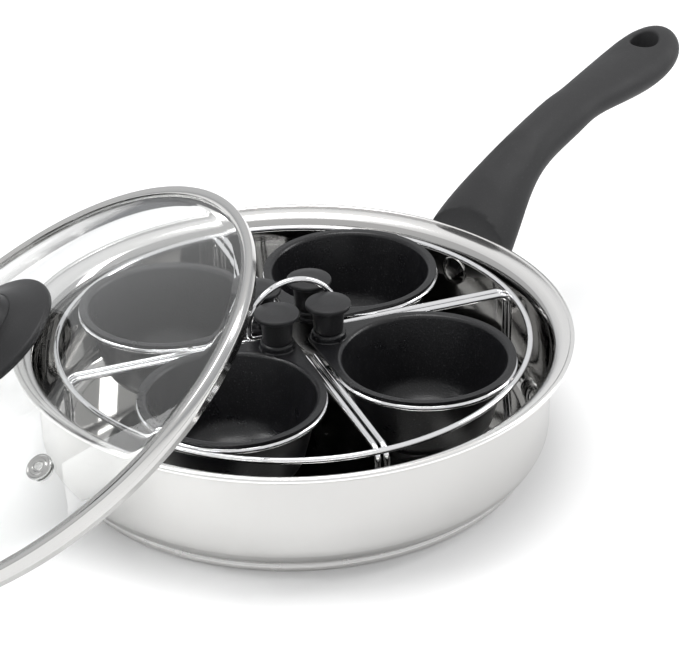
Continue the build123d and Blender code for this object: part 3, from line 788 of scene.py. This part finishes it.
def pressed_cup():
    """One cup with its tab towards +X and the rim's underside at height zero."""
    cup = bmesh.new()
    side = CUP_MOUTH - CUP_STEEL / cos(CUP_TAPER)
    low, high = -CUP_DEPTH + CUP_STEEL, CUP_STEEL
    add_outline(cup, [
        (0, low, 0), (side + low * tan(CUP_TAPER), low, CUP_CORNER),
        (side + high * tan(CUP_TAPER), high, MOUTH_ROUND), (MOUTH_END, high, 0),
    ], steps=12)
    spin_round(cup, 192)

    boss = turned([
        (0, high + BOSS_HEIGHT, 0), (BOSS, high + BOSS_HEIGHT, BOSS_ROUND),
        (BOSS, high, BOSS_FOOT), (BOSS_END, high, 0),
    ], steps=SMALL_RING)
    bmesh.ops.translate(boss, verts=boss.verts, vec=(TAB_REACH * MM, 0, 0))
    boss_mesh = bpy.data.meshes.new("boss")
    boss.to_mesh(boss_mesh)
    boss.free()
    cup.from_mesh(boss_mesh)
    bpy.data.meshes.remove(boss_mesh)
    holes = [edge for edge in cup.edges if edge.is_boundary]

    tangent = radians(90) - asin((CUP_RIM - TAB_END) / TAB_REACH)
    rim_centre, tab_centre = Vector((0, 0, high * MM)), Vector((TAB_REACH * MM, 0, high * MM))
    way = Vector((cos(tangent), -sin(tangent), 0))
    tab_first = cup.verts.new(tab_centre + way * TAB_END * MM)
    tab_arc = bmesh.ops.spin(
        cup, geom=[tab_first], cent=tab_centre, axis=(0, 0, 1), angle=2 * tangent, steps=24
    )
    way.y = -way.y
    rim_first = cup.verts.new(rim_centre + way * CUP_RIM * MM)
    rim_arc = bmesh.ops.spin(
        cup, geom=[rim_first], cent=rim_centre, axis=(0, 0, 1), angle=2 * (pi - tangent), steps=144
    )
    cup.edges.new((tab_arc["geom_last"][0], rim_first))
    cup.edges.new((rim_arc["geom_last"][0], tab_first))
    border = [edge for edge in cup.edges if edge.is_wire]
    bmesh.ops.triangle_fill(
        cup, edges=holes + border, use_beauty=True, use_dissolve=False, normal=(0, 0, 1)
    )
    bmesh.ops.recalc_face_normals(cup, faces=cup.faces)
    face_way(cup)
    return cup


# %% Hang the four cups
CUP_SEAT = 48.8

for name, angle in cup_ways.items():
    finished(
        f"{name}_cup_pressing", pressed_cup(), f"{name}_cup", [f"egg_cup_{name}"], cup_coating,
        place=turn_place(CUP_REACH, angle, CUP_SEAT, facing=angle + 180),
        wall=CUP_STEEL, even=False, edge=CUP_SOFT,
    )

# %% [markdown]
# ## The knobs
# Each cup is lifted by an upright knob like a small mushroom: a stem that widens a little
# upwards, and a thin round head with a low crown. One closed outline makes it. The corner under
# the head is rounded too, because a moulded piece has no sharp inner corner.

# %% Turn the cup knobs
SEAT_GAP = 0.05
KNOB_SEAT = CUP_SEAT + CUP_STEEL + BOSS_HEIGHT + SEAT_GAP
KNOB_REACH = 15.0
STEM_FOOT, STEM_TOP, HEAD = 5.7, 6.4, 8.9
HEAD_LOW, HEAD_HIGH, HEAD_CROWN = 10.2, 12.1, 13.0

knob_outline = [
    (0, 0, 0), (STEM_FOOT, 0, 0.5), (STEM_TOP, HEAD_LOW, 0.6), (HEAD, HEAD_LOW, 0.6),
    (HEAD, HEAD_HIGH, 0.8), (4.5, 12.9, 12), (0, HEAD_CROWN, 0),
]
for name, angle in cup_ways.items():
    finished(
        f"{name}_knob_moulding", turned(knob_outline, steps=96), f"{name}_cup", [f"cup_knob_{name}"],
        knob_black, place=turn_place(KNOB_REACH, angle, KNOB_SEAT),
    )

# %% [markdown]
# ## The lid
# The lid leans on the table in front of the pan's rim. Its pieces are drawn about an upright axis
# and set in place by one matrix, whose columns are the lid's downhill, level and outward ways.
# The glass is part of a large sphere with a narrow flat edge, which the rolled band grips.

# %% Set up the lid's place
LEAN, DOWNHILL = radians(33.3), radians(143.5)
LID_CENTRE = Vector((-110.215, 34.539, 61.577)) * MM
lid_out = Vector((sin(LEAN) * cos(DOWNHILL), sin(LEAN) * sin(DOWNHILL), cos(LEAN)))
lid_down = Vector((cos(LEAN) * cos(DOWNHILL), cos(LEAN) * sin(DOWNHILL), -sin(LEAN)))
lid_level = lid_out.cross(lid_down)
lid_place = Matrix((lid_down, lid_level, lid_out)).transposed().to_4x4()
lid_place.translation = LID_CENTRE
print("lid faces:", [round(v, 3) for v in lid_out])

# %% Spin the glass
DOME_SPHERE, DOME_TOP, DOME_EDGE = 265.3, 17.45, 96.05
GLASS, GLASS_EDGE, GLASS_HOLE, GLASS_CURL = 3.0, 101.45, 2.9, 1.5
dome_centre = DOME_TOP - DOME_SPHERE

glass = bmesh.new()
hole_height = dome_centre + sqrt(DOME_SPHERE**2 - GLASS_HOLE**2)
hole_vert = glass.verts.new((GLASS_HOLE * MM, 0, hole_height * MM))
arc = bmesh.ops.spin(
    glass, geom=[hole_vert], cent=(0, 0, dome_centre * MM), axis=(0, 1, 0),
    angle=asin(DOME_EDGE / DOME_SPHERE) - asin(GLASS_HOLE / DOME_SPHERE), steps=32,
)
edge_vert = arc["geom_last"][0]
rim_vert = glass.verts.new((GLASS_EDGE * MM, 0, edge_vert.co.z))
glass.edges.new((edge_vert, rim_vert))
bmesh.ops.bevel(
    glass, geom=[edge_vert], offset=GLASS_CURL * MM, offset_type="OFFSET", segments=4,
    profile=0.5, affect="VERTICES", material=-1,
)
spin_round(glass, 192)
face_way(glass)
lid_dome = finished(
    "lid_dome", glass, "lid", ["lid_glass"], lid_clear, place=lid_place, wall=GLASS
)
lid_dome.visible_shadow = False

# %% Roll the band
BAND_STEEL, BAND_LIP, BAND_EDGE, BAND_LOW = 0.5, 97.8, 102, -4.1
RECESS, RECESS_LOW = 98, -9.3

band = turned([
    (BAND_LIP, 0, 0), (BAND_EDGE, 0, 1.0), (BAND_EDGE, BAND_LOW, 1.0), (RECESS, BAND_LOW, 0.9),
    (RECESS, RECESS_LOW, 0),
], steps=LARGE_RING)
outermost = max(band.faces, key=lambda face: face.calc_center_median().xy.length)
if outermost.normal.xy.dot(outermost.calc_center_median().xy) < 0:
    bmesh.ops.reverse_faces(band, faces=band.faces)
finished(
    "lid_band_rolled", band, "lid", ["lid_band"], band_steel, place=lid_place,
    wall=BAND_STEEL,
)

# %% [markdown]
# ## The vent and the lid's knob
# A small steel grommet lines the steam hole, with a raised ring round the hole itself. The lid's
# knob is a moulding with a wide shallow skirt that keeps the fingers off the glass, a crease
# where the skirt meets the stem, a waist to hold, and a rounded cap on top.

# %% Turn the vent
VENT_REACH, VENT_WAY = 72.0, radians(93)
VENT_HOLE, VENT_TUBE, VENT_LOWER, VENT_UPPER = 2.1, 3.1, 4.2, 5.0
TUBE_TOP, TUBE_END, LOWER_TOP = 1.25, -3.85, -3.05

vent_place = (
    lid_place @ Matrix.Rotation(VENT_WAY, 4, "Z") @ Matrix.Translation((0, 0, dome_centre * MM))
    @ Matrix.Rotation(asin(VENT_REACH / DOME_SPHERE), 4, "Y")
    @ Matrix.Translation((0, 0, DOME_SPHERE * MM))
)
vent = turned([
    (VENT_HOLE, TUBE_END, 0), (VENT_HOLE, TUBE_TOP, 0.3), (VENT_TUBE, TUBE_TOP, 0.3),
    (3.4, 0.7, 0.2), (4.2, 0.7, 0.2), (4.5, 1.0, 0.2), (VENT_UPPER, 0.9, 0.3),
    (VENT_UPPER, SEAT_GAP, 0), (VENT_TUBE, SEAT_GAP, 0), (VENT_TUBE, LOWER_TOP, 0),
    (VENT_LOWER, LOWER_TOP, 0), (VENT_LOWER, TUBE_END, 0),
], steps=SMALL_RING, closed=True)
finished("vent_grommet", vent, "lid", ["lid_vent"], vent_steel, place=vent_place)

# %% Turn the lid's knob
SKIRT, SKIRT_LOW, SKIRT_EDGE, SKIRT_FLAT = 30.4, 4.6, 2.8, 3
HUB, CREASE, WAIST, CAP = 11, 17.0, 14.4, 19.0
WAIST_HEIGHT, CAP_AT, CAP_TOP = 19.0, 26.5, 32.0

lid_grip = turned([
    (0, SEAT_GAP, 0), (HUB, SEAT_GAP, 0.5), (HUB, 10.0, 1.0), (SKIRT - SKIRT_FLAT, SKIRT_LOW, 0.5),
    (SKIRT, SKIRT_LOW, 1.0), (SKIRT, SKIRT_LOW + SKIRT_EDGE, 1.3), (24.5, 9.6, 50),
    (CREASE + 0.5, 13.2, 0.5), (CREASE, 13.0, 0.3), (WAIST, WAIST_HEIGHT, 9), (CAP, CAP_AT, 2.2),
    (14.5, 30.2, 14), (0, CAP_TOP, 0),
])
finished(
    "lid_grip_moulding", lid_grip, "lid", ["lid_knob"], knob_black,
    place=lid_place @ Matrix.Translation((0, 0, DOME_TOP * MM)),
)

# %% [markdown]
# ## The small measured pieces
# The bracket, the rivet's shank, the screws, the washer and the sealed core keep the measured
# shapes, because they are plain turned or pressed pieces that hardly show. Each still gets its own
# metal, so that the underside looks right as well.

# %% Dress the measured pieces
finishes = {name: screw_steel for name in nodes if "screw" in name or "washer" in name}
finishes["handle_bracket"] = bracket_steel
finishes["handle_rivet"] = rivet_steel
finishes["base_core"] = core_aluminium
for name, material in finishes.items():
    mesh = nodes[name].data
    mesh.materials.clear()
    mesh.materials.append(material)
print("measured pieces kept:", len(finishes))
